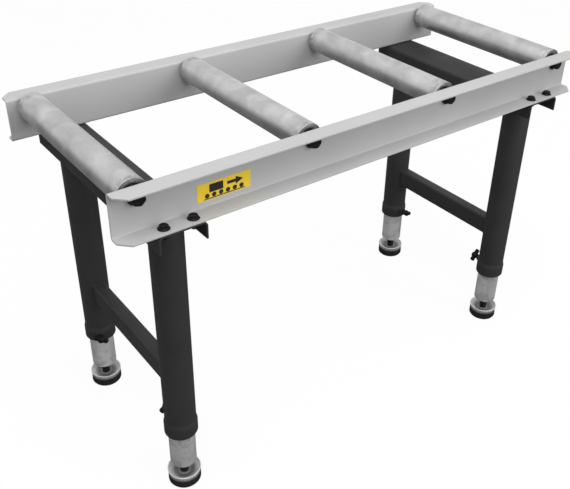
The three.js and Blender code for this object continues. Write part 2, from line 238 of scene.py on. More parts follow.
def merged(*parts):
    """Several meshes as one."""
    whole = bmesh.new()
    for part in parts:
        mesh = bpy.data.meshes.new("part")
        part.to_mesh(mesh)
        part.free()
        whole.from_mesh(mesh)
        bpy.data.meshes.remove(mesh)
    return whole


def placed(bm, matrix):
    bmesh.ops.transform(bm, matrix=matrix, verts=bm.verts)
    return bm


def add_piece(name, bm, body, look, replaces=(), bevel=0.0):
    """Makes the piece from its mesh, rides it on its body and hides the CAD parts it replaces."""
    bmesh.ops.recalc_face_normals(bm, faces=bm.faces)
    mesh = bpy.data.meshes.new(name)
    bm.to_mesh(mesh)
    bm.free()
    mesh.polygons.foreach_set("use_smooth", [True] * len(mesh.polygons))
    mesh.set_sharp_from_angle(angle=SHARP_ANGLE)
    mesh.materials.append(look)
    piece = bpy.data.objects.new(name, mesh)
    bpy.context.scene.collection.objects.link(piece)
    if bevel:
        edge = piece.modifiers.new("edge_round", "BEVEL")
        edge.width = bevel
        edge.segments = 2
        edge.limit_method = "ANGLE"
        edge.angle_limit = BEVEL_ANGLE
        edge.harden_normals = True
    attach(piece, body)
    if replaces:
        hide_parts(*replaces)
    return piece


def facing(direction):
    """The turn that lays +Z along a direction."""
    return Vector(direction).to_track_quat("Z", "Y").to_matrix().to_4x4()


def centre_of(node):
    low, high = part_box(node)
    return (low + high) / 2


# ---------------------------------------------------------------- materials


class Look:
    """A Principled material, with short calls for the nodes that vary its colour, gloss and surface."""

    def __init__(self, name, roughness, metallic=0.0, specular=0.5):
        self.material = bpy.data.materials.new(name)
        self.material.use_nodes = True
        self.tree = self.material.node_tree
        self.shader = self.tree.nodes["Principled BSDF"]
        self.shader.inputs["Roughness"].default_value = roughness
        self.shader.inputs["Metallic"].default_value = metallic
        self.shader.inputs["Specular IOR Level"].default_value = specular
        self.coords = self.tree.nodes.new("ShaderNodeTexCoord").outputs["Object"]
        self.height = None

    def noise(self, scale, detail=3.0, stretch=(1, 1, 1), distortion=0.0):
        """Noise over the piece, with scale in waves per metre along each axis times stretch."""
        mapping = self.tree.nodes.new("ShaderNodeMapping")
        mapping.inputs["Scale"].default_value = stretch
        texture = self.tree.nodes.new("ShaderNodeTexNoise")
        texture.inputs["Scale"].default_value = scale
        texture.inputs["Detail"].default_value = detail
        texture.inputs["Distortion"].default_value = distortion
        self.tree.links.new(self.coords, mapping.inputs["Vector"])
        self.tree.links.new(mapping.outputs["Vector"], texture.inputs["Vector"])
        return texture.outputs["Fac"]

    def ramp(self, value, stops):
        """A colour ramp over a value, from (position, colour) stops."""
        node = self.tree.nodes.new("ShaderNodeValToRGB")
        elements = node.color_ramp.elements
        while len(elements) < len(stops):
            elements.new(0.5)
        for element, (position, colour) in zip(elements, stops):
            element.position = position
            element.color = (*colour, 1.0)
        self.tree.links.new(value, node.inputs["Fac"])
        return node.outputs["Color"]

    def spread(self, value, low, high):
        """A noise value, mostly 0.3 to 0.7, spread from low to high."""
        node = self.tree.nodes.new("ShaderNodeMapRange")
        node.inputs["From Min"].default_value = 0.3
        node.inputs["From Max"].default_value = 0.7
        node.inputs["To Min"].default_value = low
        node.inputs["To Max"].default_value = high
        self.tree.links.new(value, node.inputs["Value"])
        return node.outputs["Result"]

    def beyond(self, axis, start, full):
        """0 up to start metres from the origin along an axis, either way, rising to 1 at full."""
        split = self.tree.nodes.new("ShaderNodeSeparateXYZ")
        distance = self.tree.nodes.new("ShaderNodeMath")
        distance.operation = "ABSOLUTE"
        node = self.tree.nodes.new("ShaderNodeMapRange")
        node.inputs["From Min"].default_value = start
        node.inputs["From Max"].default_value = full
        self.tree.links.new(self.coords, split.inputs["Vector"])
        self.tree.links.new(split.outputs[axis], distance.inputs[0])
        self.tree.links.new(distance.outputs[0], node.inputs["Value"])
        return node.outputs["Result"]

    def mix(self, factor, a, b, blend="MIX"):
        node = self.tree.nodes.new("ShaderNodeMix")
        node.data_type = "RGBA"
        node.blend_type = blend
        for socket, value in ((node.inputs[0], factor), (node.inputs[6], a), (node.inputs[7], b)):
            if isinstance(value, bpy.types.NodeSocket):
                self.tree.links.new(value, socket)
            else:
                socket.default_value = value
        return node.outputs[2]

    def colour(self, output):
        self.tree.links.new(output, self.shader.inputs["Base Color"])
        return self

    def roughness(self, output):
        self.tree.links.new(output, self.shader.inputs["Roughness"])
        return self

    def bump(self, output, distance, strength=1.0):
        """Adds a layer of surface height, distance metres from its lows to its highs."""
        node = self.tree.nodes.new("ShaderNodeBump")
        node.inputs["Distance"].default_value = distance
        node.inputs["Strength"].default_value = strength
        self.tree.links.new(output, node.inputs["Height"])
        if self.height is not None:
            self.tree.links.new(self.height, node.inputs["Normal"])
        self.height = node.outputs["Normal"]
        self.tree.links.new(self.height, self.shader.inputs["Normal"])
        return self


def grey(value):
    return (value, value, value)


def make_rail_paint():
    look = Look("rail_powder_coat", roughness=0.42, specular=0.4)
    cloud = look.noise(5, detail=4)
    look.colour(look.ramp(cloud, [(0.35, grey(0.475)), (0.65, grey(0.515))]))
    look.roughness(look.spread(look.noise(14, detail=4), 0.38, 0.48))
    look.bump(look.noise(650, detail=1), 0.00004, 0.6)
    return look.material


def make_frame_paint():
    look = Look("frame_powder_coat", roughness=0.5, specular=0.4)
    cloud = look.noise(7, detail=4)
    look.colour(look.ramp(cloud, [(0.35, grey(0.025)), (0.65, grey(0.034))]))
    look.roughness(look.spread(look.noise(20, detail=4), 0.46, 0.58))
    look.bump(look.noise(700, detail=1), 0.00005, 0.7)
    return look.material


def make_roller_zinc():
    look = Look("roller_zinc", roughness=0.42, metallic=0.92)
    blotch = look.noise(26, detail=4, distortion=0.4)
    tone = look.ramp(blotch, [(0.3, grey(0.58)), (0.5, grey(0.69)), (0.72, grey(0.82))])
    rubbed = look.noise(60, detail=6, stretch=(1, 0.25, 1))
    tone = look.mix(1.0, tone, look.ramp(rubbed, [(0.4, grey(0.92)), (0.6, grey(1.0))]), "MULTIPLY")
    patches = look.noise(110, detail=5, distortion=0.8)
    worn = look.ramp(patches, [(0.35, grey(0.46)), (0.5, grey(0.60)), (0.68, grey(0.76))])
    tone = look.mix(look.beyond("Y", 0.158, 0.172), tone, worn)
    # Painted shade: the tube's rounded rim and end face are darkened to grey 0.30 so they show no
    # bright highlight.
    look.colour(look.mix(look.beyond("Y", 0.1786, 0.1796), tone, (*grey(0.30), 1.0)))
    look.roughness(look.spread(look.noise(40, detail=5), 0.36, 0.50))
    look.bump(look.noise(9, detail=2, stretch=(1, 160, 1)), 0.00003, 0.35)
    look.bump(look.noise(420, detail=3), 0.00002, 0.3)
    return look.material


def make_tube_zinc():
    look = Look("inner_leg_zinc", roughness=0.4, metallic=0.35)
    streak = look.noise(30, detail=4, stretch=(1, 1, 0.12))
    tone = look.ramp(streak, [(0.3, grey(0.54)), (0.7, grey(0.78))])
    smudge = look.ramp(look.noise(45, detail=4, distortion=0.6), [(0.36, grey(0.72)), (0.5, grey(1.0))])
    look.colour(look.mix(1.0, tone, smudge, "MULTIPLY"))
    look.roughness(look.spread(look.noise(50, detail=4), 0.34, 0.48))
    look.bump(look.noise(300, detail=3, stretch=(1, 1, 0.3)), 0.00003, 0.4)
    return look.material


def make_cup_zinc():
    """Plated cup, its colour darkened by painted shade down its wall and into the dish, so it is
    lightest on the rolled rim.
    """
    look = Look("foot_zinc", roughness=0.4, metallic=0.5)
    plating = look.ramp(look.noise(60, detail=4), [(0.3, grey(0.80)), (0.7, grey(1.0))])
    # Painted shade: the colour darkens towards the bottom of the wall and into the dish, standing for
    # shadow and dark reflection.
    stops = [(0.0, 0.04), (0.25, 0.22), (0.5, 0.56), (0.85, 0.76), (1.0, 0.82)]
    painted_cup_shade = look.ramp(look.beyond("Z", 0.0155, 0.0275), [(at, grey(tone)) for at, tone in stops])
    look.colour(look.mix(1.0, plating, painted_cup_shade, "MULTIPLY"))
    look.roughness(look.spread(look.noise(90, detail=4), 0.34, 0.48))
    look.bump(look.noise(500, detail=2), 0.00002, 0.3)
    return look.material


def make_bright_steel():
    look = Look("bright_steel", roughness=0.28, metallic=0.95)
    look.colour(look.ramp(look.noise(120, detail=4), [(0.3, grey(0.42)), (0.7, grey(0.56))]))
    look.bump(look.noise(40, detail=3, stretch=(1, 30, 1)), 0.00002, 0.3)
    return look.material


def make_housing_steel():
    look = Look("housing_steel", roughness=0.45, metallic=0.3)
    look.colour(look.ramp(look.noise(90, detail=5), [(0.3, grey(0.26)), (0.7, grey(0.42))]))
    look.roughness(look.spread(look.noise(150, detail=4), 0.34, 0.5))
    look.bump(look.noise(400, detail=3), 0.00003, 0.4)
    return look.material


def make_shield_steel():
    look = Look("bearing_shield", roughness=0.45, metallic=0.6)
    look.colour(look.ramp(look.noise(160, detail=4), [(0.3, grey(0.035)), (0.7, grey(0.07))]))
    look.bump(look.noise(600, detail=2), 0.00002, 0.3)
    return look.material


def make_black_oxide():
    look = Look("black_oxide", roughness=0.5, specular=0.22)
    look.colour(look.ramp(look.noise(180, detail=5), [(0.3, grey(0.0025)), (0.7, grey(0.006))]))
    look.roughness(look.spread(look.noise(260, detail=4), 0.42, 0.6))
    look.bump(look.noise(700, detail=3), 0.00003, 0.5)
    return look.material


def make_rubber():
    look = Look("foot_rubber", roughness=0.75, specular=0.18)
    look.colour(look.ramp(look.noise(120, detail=5), [(0.3, grey(0.010)), (0.7, grey(0.020))]))
    look.bump(look.noise(900, detail=3), 0.00005, 0.6)
    return look.material


def make_label_film():
    look = Look("label_yellow", roughness=0.35, specular=0.45)
    yellow, deep = (0.98, 0.70, 0.045), (0.93, 0.64, 0.04)
    look.colour(look.ramp(look.noise(60, detail=3), [(0.35, deep), (0.65, yellow)]))
    look.bump(look.noise(350, detail=2), 0.00002, 0.3)
    return look.material


def make_label_ink():
    look = Look("label_ink", roughness=0.4)
    look.colour(look.ramp(look.noise(90, detail=3), [(0.35, grey(0.010)), (0.65, grey(0.016))]))
    return look.material


RAIL_PAINT = make_rail_paint()
FRAME_PAINT = make_frame_paint()
ROLLER_ZINC = make_roller_zinc()
TUBE_ZINC = make_tube_zinc()
CUP_ZINC = make_cup_zinc()
BRIGHT_STEEL = make_bright_steel()
HOUSING_STEEL = make_housing_steel()
SHIELD_STEEL = make_shield_steel()
BLACK_OXIDE = make_black_oxide()
RUBBER = make_rubber()
LABEL_FILM = make_label_film()
LABEL_INK = make_label_ink()


# ---------------------------------------------------------------- fasteners and threads


def round_ring(radius, z, steps=HEX_STEPS):
    """A circle of points at a height."""
    angles = [2 * math.pi * i / steps for i in range(steps)]
    return [(radius * math.cos(a), radius * math.sin(a), z) for a in angles]


def hex_ring(flats, z, round_radius=None, slope=HEX_CHAMFER):
    """A hexagon of points; given a round face's radius, its corners fall away from z by the slope."""
    points = []
    for i in range(HEX_STEPS):
        angle = 2 * math.pi * i / HEX_STEPS
        reach = flats / 2 / math.cos((angle + math.pi / 6) % (math.pi / 3) - math.pi / 6)
        fall = (reach - round_radius) * slope if round_radius else 0.0
        points.append((reach * math.cos(angle), reach * math.sin(angle), z - fall))
    return points


def hex_head(flats, height):
    """A forged hexagon head on z = 0: chamfered round top with a faint dish in the middle."""
    top = flats / 2 * 0.93
    dish = height - 0.35 * MM
    return swept(
        [
            hex_ring(flats, 0.0),
            hex_ring(flats, height, top),
            round_ring(top, height),
            round_ring(top * 0.62, height),
            round_ring(top * 0.5, dish),
            round_ring(top * 0.12, dish),
        ]
    )


def collar(radius, thickness):
    """The washer face forged under a head, on z = 0, sloping up towards the head."""
    outline = [
        (0, 0),
        (radius - COLLAR_LIP, 0),
        (radius - 0.2 * MM, 0.3 * MM),
        (radius, COLLAR_LIP),
        (radius - 0.4 * MM, COLLAR_LIP + 0.3 * MM),
        (radius * 0.72, thickness),
        (0, thickness),
    ]
    return turned(outline, SMALL_STEPS)


def thread(radius, pitch, low, high):
    """A threaded rod about +Z: one helical ridge, with plain flat ends."""
    depth = pitch * 0.5
    rings_per_turn = len(THREAD_RISE)
    count = max(2, round((high - low) / pitch * rings_per_turn))
    rings = []
    for level in range(count + 1):
        z = low + (high - low) * level / count
        ring = []
        for i in range(THREAD_SIDES):
            share = ((z / pitch) - i / THREAD_SIDES) % 1.0 * rings_per_turn
            first = int(share) % rings_per_turn
            here, following = THREAD_RISE[first], THREAD_RISE[(first + 1) % rings_per_turn]
            rise = here + (following - here) * (share - int(share))
            r = radius - depth * (1 - rise)
            angle = 2 * math.pi * i / THREAD_SIDES
            ring.append((r * math.cos(angle), r * math.sin(angle), z))
        rings.append(ring)
    return swept(rings)


def hex_nut(flats, height, bore):
    """A nut about +Z from z = 0, chamfered at both faces, with an open bore."""
    face = flats / 2 * 0.95
    lead = 0.45 * MM
    return swept(
        [
            round_ring(bore, lead),
            round_ring(bore + lead, 0.0),
            round_ring(face, 0.0),
            hex_ring(flats, 0.0, face, -HEX_CHAMFER),
            hex_ring(flats, height, face),
            round_ring(face, height),
            round_ring(bore + lead, height),
            round_ring(bore, height - lead),
        ],
        cap="loop",
    )


def weld_bead(path, radius):
    """A bead of weld round a loop of 3D points, its size rippling as the pool froze."""
    rings = []
    for i, point in enumerate(path):
        before, after = Vector(path[i - 1]), Vector(path[(i + 1) % len(path)])
        along = (after - before).normalized()
        side = along.cross(Vector((0.31, 0.24, 0.92))).normalized()
        up = along.cross(side)
        size = radius * (1 + 0.16 * math.sin(i * math.pi / 2) + 0.05 * math.sin(i * 0.37))
        ring = []
        for k in range(WELD_SIDES):
            angle = 2 * math.pi * k / WELD_SIDES
            ring.append(Vector(point) + size * (math.cos(angle) * side + math.sin(angle) * up))
        rings.append(ring)
    return swept(rings, cap="loop")


# ---------------------------------------------------------------- side rails


def build_rail(side):
    """Folded channel: the web inside, both flanges turned out, their corners cut at 45 degrees."""
    node = f"side_rail_{side}"
    low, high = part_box(node)
    out = SIDES[side]
    web = high.y if out < 0 else low.y
    edge = low.y if out < 0 else high.y
    reach = abs(edge - web)
    height = high.z - low.z
    inner = RAIL_BEND - SHEET
    flange_stops = [reach, reach - RAIL_CORNER_CUT / 2, reach - RAIL_CORNER_CUT]
    lower, upper = (RAIL_BEND, RAIL_BEND), (RAIL_BEND, height - RAIL_BEND)
    outer_skin = [(y, 0) for y in flange_stops]
    outer_skin += arc(lower, RAIL_BEND, 270, 180, RAIL_BEND_STEPS)
    outer_skin += arc(upper, RAIL_BEND, 180, 90, RAIL_BEND_STEPS)
    outer_skin += [(y, height) for y in reversed(flange_stops)]
    inner_skin = [(y, SHEET) for y in flange_stops]
    inner_skin += arc(lower, inner, 270, 180, RAIL_BEND_STEPS)
    inner_skin += arc(upper, inner, 180, 90, RAIL_BEND_STEPS)
    inner_skin += [(y, height - SHEET) for y in reversed(flange_stops)]
    section = outer_skin + inner_skin[::-1]

    def ring(end):
        x_end = high.x if end > 0 else low.x
        points = []
        for y, z in section:
            cut_back = max(0.0, y - (reach - RAIL_CORNER_CUT))
            points.append((x_end - end * cut_back, web + out * y, low.z + z))
        return points

    bm = swept([ring(-1), ring(1)], cap="strip")
    add_piece(f"rail_sheet_{side}", bm, "frame", RAIL_PAINT, [node], bevel=EDGE_ROUND)


# ---------------------------------------------------------------- rollers


def build_roller(number):
    tube_node = f"roller_tube_{number}"
    body = f"roller_{number}"
    low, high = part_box(tube_node)
    centre = (low + high) / 2
    radius = (high.z - low.z) / 2
    half = (high.y - low.y) / 2
    bore = radius - ROLLER_WALL
    at_centre = Matrix.Translation(centre)
    outline = filleted(
        [
            (bore, -half, 0.5 * MM),
            (radius, -half, 1.1 * MM),
            (radius, half, 1.1 * MM),
            (bore, half, 0.5 * MM),
        ]
    )
    tube = placed(turned(outline, ROLLER_STEPS), at_centre @ facing((0, 1, 0)))
    add_piece(f"roller_shell_{number}", tube, body, ROLLER_ZINC, [tube_node])

    axle_node = f"roller_axle_{number}"
    a_low, a_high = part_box(axle_node)
    axle_radius = (a_high.z - a_low.z) / 2
    axle_half = (a_high.y - a_low.y) / 2
    chamfer = 0.8 * MM
    profile = [
        (0, -axle_half),
        (axle_radius - chamfer, -axle_half),
        (axle_radius, chamfer - axle_half),
        (axle_radius, axle_half - chamfer),
        (axle_radius - chamfer, axle_half),
        (0, axle_half),
    ]
    shaft = placed(turned(profile, AXLE_STEPS), at_centre @ facing((0, 1, 0)))
    add_piece(f"roller_shaft_{number}", shaft, "frame", BRIGHT_STEEL, [axle_node])

    for side, out in SIDES.items():
        build_roller_end(number, side, out, centre, half, bore, axle_radius)
        build_axle_bolt(number, side, out, centre)


def build_roller_end(number, side, out, centre, half, bore, axle_radius):
    """Pressed housing and ball bearing in the tube's mouth; z = 0 is the tube's end, inward is -z."""
    body = f"roller_{number}"
    mouth = Matrix.Translation(centre + Vector((0, out * half, 0))) @ facing((0, out, 0))
    fit = bore - 0.15 * MM
    seat = RACE_RADIUS + 0.1 * MM
    housing = filleted(
        [
            (fit, -HOUSING_LIP, 0.4 * MM),
            (fit, -BEARING_DEPTH, 0.6 * MM),
            (fit - HOUSING_SHEET, -BEARING_DEPTH, 0.3 * MM),
            (fit - HOUSING_SHEET, -BEARING_FACE - 1.2 * MM, 0.3 * MM),
            (seat, -BEARING_FACE - 1.2 * MM, 0.3 * MM),
            (seat, -BEARING_FACE + 0.6 * MM, 0.6 * MM),
            (fit - 1.2 * MM, -HOUSING_LIP, 0.4 * MM),
        ],
        4,
    )

    def ring_piece(name, outer, inner, front, back, rides_on, look):
        outline = [(outer, front), (outer, back), (inner, back), (inner, front)]
        ring = turned(filleted([(r, z, 0.3 * MM) for r, z in outline], 3))
        add_piece(f"{name}_{side}_{number}", placed(ring, mouth), rides_on, look)

    add_piece(
        f"bearing_housing_{side}_{number}",
        placed(turned(housing), mouth),
        body,
        HOUSING_STEEL,
        [f"roller_bearing_{side}_{number}"],
    )
    front, back = -BEARING_FACE, 1 * MM - BEARING_DEPTH
    ring_piece("bearing_race", RACE_RADIUS, SHIELD_RADIUS, front, back, body, BRIGHT_STEEL)
    outer, inner = SHIELD_RADIUS - 0.1 * MM, INNER_RACE_RADIUS + 0.3 * MM
    shield_front, shield_back = front - 0.9 * MM, front - 2 * MM
    ring_piece("bearing_shield", outer, inner, shield_front, shield_back, body, SHIELD_STEEL)
    outer, inner = INNER_RACE_RADIUS, axle_radius + 0.1 * MM
    ring_piece("bearing_inner_ring", outer, inner, front, back, "frame", BRIGHT_STEEL)


def build_axle_bolt(number, side, out, centre):
    node = f"axle_bolt_{side}_{number}"
    low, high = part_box(node)
    head_end = low.y if out < 0 else high.y
    seat = WEB_FACE[side] + SEAT_GAP
    height = abs(head_end) - seat
    seated = Matrix.Translation((centre.x, out * seat, centre.z)) @ facing((0, out, 0))
    collar_radius = (high.z - low.z) / 2
    head = placed(hex_head(AXLE_BOLT_FLATS, height), Matrix.Rotation(AXLE_BOLT_TURN, 4, "Z"))
    bolt = placed(merged(head, collar(collar_radius, AXLE_BOLT_COLLAR + COLLAR_ROOT)), seated)
    name = f"axle_bolt_head_{side}_{number}"
    add_piece(name, bolt, "frame", BLACK_OXIDE, [node])


# ---------------------------------------------------------------- leg frames


def build_cross_member(end):
    """Inverted channel with soft folds, along Y."""
    node = f"cross_member_{end}"
    low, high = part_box(node)
    centre_x = (low.x + high.x) / 2
    half = (high.x - low.x) / 2
    height = high.z - low.z

    def skin(radius, edge):
        left, right = (-half + CROSS_BEND, -CROSS_BEND), (half - CROSS_BEND, -CROSS_BEND)
        folds = arc(left, radius, 180, 90, CROSS_BEND_STEPS)
        folds += arc(right, radius, 90, 0, CROSS_BEND_STEPS)
        return [(-edge, -height)] + folds + [(edge, -height)]

    section = skin(CROSS_BEND, half) + skin(CROSS_BEND - SHEET, half - SHEET)[::-1]
    rings = [[(centre_x + x, y, high.z + z) for x, z in section] for y in (low.y, high.y)]
    bm = swept(rings, cap="strip")
    add_piece(f"cross_channel_{end}", bm, "frame", FRAME_PAINT, [node], bevel=EDGE_ROUND)


def build_outer_leg(end, side):
    place = f"{end}_{side}"
    node = f"outer_leg_{place}"
    low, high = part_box(node)
    foot = centre_of(f"rubber_pad_{place}")
    collar_radius = (high.x - low.x) / 2
    bore = LEG_RADIUS - LEG_WALL
    guide = bore - 0.5 * MM
    collar_top = low.z + COLLAR_HEIGHT
    outline = filleted(
        [
            (guide, low.z, 0.8 * MM),
            (collar_radius, low.z, 1.8 * MM),
            (collar_radius, collar_top - COLLAR_SHOULDER, 3.0 * MM),
            (LEG_RADIUS, collar_top + 1 * MM, 3.0 * MM),
            (LEG_RADIUS, high.z, 0.4 * MM),
            (bore, high.z, 0.4 * MM),
            (bore, collar_top, 0.4 * MM),
            (guide, collar_top - 2 * MM, 0.4 * MM),
        ]
    )
    leg = placed(turned(outline, ROUND_STEPS), Matrix.Translation((foot.x, foot.y, 0)))
    add_piece(f"leg_tube_{place}", leg, "frame", FRAME_PAINT, [node])

    top_ring = round_ring(LEG_RADIUS, high.z, LEG_WELD_STEPS)
    top_ring = [(foot.x + x, foot.y + y, z) for x, y, z in top_ring]
    bead = weld_bead(top_ring, LEG_WELD_RADIUS)
    add_piece(f"leg_weld_{place}", bead, "frame", FRAME_PAINT)


def clamp_direction(end, side):
    """From the leg's axis to its clamp screw, level: inward, turned towards -X."""
    turn = math.radians(CLAMP_TURN[f"{end}_{side}"])
    return Vector((-math.sin(turn), -SIDES[side] * math.cos(turn), 0))


def build_clamp(end, side):
    """Welded nut on the collar, and the wing screw through it."""
    place = f"{end}_{side}"
    foot = centre_of(f"rubber_pad_{place}")
    outward = clamp_direction(end, side)
    axis = Matrix.Translation((foot.x, foot.y, CLAMP_HEIGHT)) @ facing(outward)
    nut = hex_nut(CLAMP_NUT_FLATS, CLAMP_NUT_FACE - CLAMP_NUT_SEAT, CLAMP_SCREW_RADIUS + 0.2 * MM)
    nut = placed(nut, Matrix.Translation((0, 0, CLAMP_NUT_SEAT)))
    add_piece(f"clamp_nut_{place}", placed(nut, axis), "frame", FRAME_PAINT)
    path = round_ring(CLAMP_NUT_FLATS / 2 + 0.2 * MM, CLAMP_NUT_SEAT + 1 * MM, 40)
    bead = placed(weld_bead(path, NUT_WELD_RADIUS), axis)
    add_piece(f"clamp_weld_{place}", bead, "frame", FRAME_PAINT)

    screw = thread(CLAMP_SCREW_RADIUS, CLAMP_SCREW_PITCH, CLAMP_TIP, CLAMP_HUB_IN + 1 * MM)
    hub_outline = filleted(
        [
            (0, CLAMP_HUB_IN, 0),
            (5.2 * MM, CLAMP_HUB_IN, 0.6 * MM),
            (7 * MM, CLAMP_MIDDLE - 3 * MM, 2 * MM),
            (6.8 * MM, CLAMP_MIDDLE + 4 * MM, 2 * MM),
            (4 * MM, CLAMP_HUB_OUT, 2 * MM),
            (0, CLAMP_HUB_OUT, 0),
        ],
        4,
    )
    hub = turned(hub_outline, SMALL_STEPS)
    wings = placed(wing_pair(), Matrix.Translation((0, 0, CLAMP_MIDDLE)))
    turned_wings = axis @ Matrix.Rotation(upright_turn(axis) + math.radians(WING_TURN[place]), 4, "Z")
    piece = placed(merged(screw, hub, wings), turned_wings)
    add_piece(
        f"wing_screw_{place}",
        piece,
        f"clamp_{place}",
        BLACK_OXIDE,
        [f"clamp_screw_{place}"],
    )


def upright_turn(axis):
    """The turn about the screw's axis that stands its local X upright."""
    local_up = axis.to_3x3().inverted() @ Vector((0, 0, 1))
    return math.atan2(local_up.y, local_up.x)


def wing_pair():
    """Two rounded wings along local X, a little swept outward, thick at the root."""
    tip, root = WING_REACH, 4 * MM
    outline = filleted(
        [
            (-tip, -4.4 * MM, 3.2 * MM),
            (-root, -3.6 * MM, 1 * MM),
            (root, -3.6 * MM, 1 * MM),
            (tip, -4.4 * MM, 3.2 * MM),
            (tip - 0.6 * MM, 4.6 * MM, 3.6 * MM),
            (root, 3.8 * MM, 2 * MM),
            (-root, 3.8 * MM, 2 * MM),
            (0.6 * MM - tip, 4.6 * MM, 3.6 * MM),
        ],
        5,
    )
    layers = [(-3.8, 0.86), (-2.8, 1.0), (2.8, 1.0), (3.8, 0.86)]
    rings = [[(p.x * size, y * MM, p.y * size) for p in outline] for y, size in layers]
    return swept(rings)


def build_brace(end):
    """Rectangular tube between the legs, saddled to their round walls and welded."""
    node = f"leg_brace_{end}"
    low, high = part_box(node)
    centre = (low + high) / 2
    half_x, half_z = (high.x - low.x) / 2, (high.z - low.z) / 2
    leg_y = abs(centre_of(f"rubber_pad_{end}_near").y)

    def section(inset):
        r = max(BRACE_ROUND - inset, 0.6 * MM)
        x, z = half_x - inset, half_z - inset
        return filleted([(-x, -z, r), (x, -z, r), (x, z, r), (-x, z, r)], 6)

    def ring(inset, sign):
        points = []
        for p in section(inset):
            saddle = leg_y - math.sqrt((LEG_RADIUS + 0.1 * MM) ** 2 - p.x**2)
            points.append((centre.x + p.x, sign * saddle, centre.z + p.y))
        return points

    bm = swept([ring(0, -1), ring(0, 1), ring(BRACE_WALL, 1), ring(BRACE_WALL, -1)], cap="loop")
    add_piece(f"brace_tube_{end}", bm, "frame", FRAME_PAINT, [node])
    for side, sign in SIDES.items():
        dense = []
        loop = ring(-0.4 * MM, sign)
        for i, point in enumerate(loop):
            a, b = Vector(point), Vector(loop[(i + 1) % len(loop)])
            pieces = max(1, round((b - a).length / BRACE_WELD_STEP))
            dense += [a.lerp(b, k / pieces) for k in range(pieces)]
        bead = weld_bead(dense, BRACE_WELD_RADIUS)
        add_piece(f"brace_weld_{end}_{side}", bead, "frame", FRAME_PAINT)


def build_frame_bolt(end, side, letter):
    place = f"{end}_{side}_{letter}"
    node = f"frame_bolt_{place}"
    low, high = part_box(node)
    centre = (low + high) / 2
    rail_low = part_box(f"side_rail_{side}")[0].z
    cross_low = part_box(f"cross_member_{end}")[1].z - SHEET
    seat = rail_low + SHEET + SEAT_GAP
    collar_radius = (high.y - low.y) / 2
    turn = Matrix.Rotation(math.radians(FRAME_BOLT_TURN[letter]), 4, "Z")
    head = placed(hex_head(FRAME_BOLT_FLATS, high.z - seat), turn)
    flange = collar(collar_radius, FRAME_BOLT_COLLAR + COLLAR_ROOT)
    top = placed(merged(head, flange), Matrix.Translation((0, 0, seat)))
    nut = hex_nut(FRAME_BOLT_FLATS, FRAME_NUT_HEIGHT, FRAME_BOLT_RADIUS - 0.3 * MM)
    nut = placed(nut, Matrix.Rotation(FRAME_NUT_TURN, 4, "Z"))
    nut = placed(nut, Matrix.Translation((0, 0, cross_low - FRAME_NUT_HEIGHT - 0.1 * MM)))
    shank = thread(FRAME_BOLT_RADIUS, FRAME_BOLT_PITCH, low.z, seat)
    whole = placed(merged(top, nut, shank), Matrix.Translation((centre.x, centre.y, 0)))
    add_piece(f"frame_bolt_set_{place}", whole, "frame", BLACK_OXIDE, [node])


# ---------------------------------------------------------------- inner legs and feet


def build_inner_leg(place):
    node = f"inner_leg_{place}"
    low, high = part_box(node)
    centre = (low + high) / 2
    radius = (high.x - low.x) / 2
    bore = radius - INNER_LEG_WALL
    hole = SPINDLE_RADIUS + 0.3 * MM
    outline = filleted(
        [
            (hole, low.z, 0.5 * MM),
            (radius, low.z, 2.4 * MM),
            (radius, high.z, 0.5 * MM),
            (bore, high.z, 0.5 * MM),
            (bore, low.z + INNER_LEG_PLATE, 0.8 * MM),
            (hole, low.z + INNER_LEG_PLATE, 0.5 * MM),
        ]
    )
    tube = placed(turned(outline, ROUND_STEPS), Matrix.Translation((centre.x, centre.y, 0)))
    add_piece(f"inner_tube_{place}", tube, f"inner_leg_{place}", TUBE_ZINC, [node])


def build_foot(place):
    body = f"foot_{place}"
    node, pad_node = f"levelling_foot_{place}", f"rubber_pad_{place}"
    low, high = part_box(node)
    pad_low, pad_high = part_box(pad_node)
    centre = (low + high) / 2
    here = Matrix.Translation((centre.x, centre.y, 0))
    rim_radius = (high.x - low.x) / 2
    base = low.z
    rim_top = base + CUP_HEIGHT
    cup = filleted(
        [
            (0, base, 0),
            (rim_radius - 1.2 * MM, base, 0.8 * MM),
            (rim_radius - 0.5 * MM, rim_top - 3 * MM, 0.8 * MM),
            (rim_radius, rim_top - 2.2 * MM, 0.7 * MM),
            (rim_radius, rim_top, 0.9 * MM),
            (rim_radius - 2 * MM, rim_top, 0.9 * MM),
            (rim_radius - 3.2 * MM, rim_top - 2.6 * MM, 2 * MM),
            (CUP_DISH_RADIUS, base + 3.4 * MM, 6 * MM),
            (CUP_BOSS_RADIUS + 0.8 * MM, base + 3.0 * MM, 1 * MM),
            (CUP_BOSS_RADIUS, base + 4.4 * MM, 1 * MM),
            (0, base + 4.6 * MM, 0),
        ],
        5,
    )
    add_piece(f"foot_cup_{place}", placed(turned(cup), here), body, CUP_ZINC, [node])
    spindle = thread(SPINDLE_RADIUS, SPINDLE_PITCH, base + 4 * MM, high.z)
    add_piece(f"foot_spindle_{place}", placed(spindle, here), body, BLACK_OXIDE)
    pad_radius = (pad_high.x - pad_low.x) / 2
    groove = pad_low.z + PAD_GROOVE_HEIGHT
    pad = filleted(
        [
            (0, pad_low.z, 0),
            (pad_radius - 2.2 * MM, pad_low.z, 1.2 * MM),
            (pad_radius, pad_low.z + 3 * MM, 2 * MM),
            (pad_radius, groove - 0.6 * MM, 0.6 * MM),
            (pad_radius - 0.8 * MM, groove, 0.4 * MM),
            (pad_radius - 0.3 * MM, groove + 0.8 * MM, 0.4 * MM),
            (pad_radius - 0.3 * MM, pad_high.z, 0.8 * MM),
            (0, pad_high.z, 0),
        ],
        4,
    )
    add_piece(f"foot_pad_{place}", placed(turned(pad), here), body, RUBBER, [pad_node])


# ---------------------------------------------------------------- label


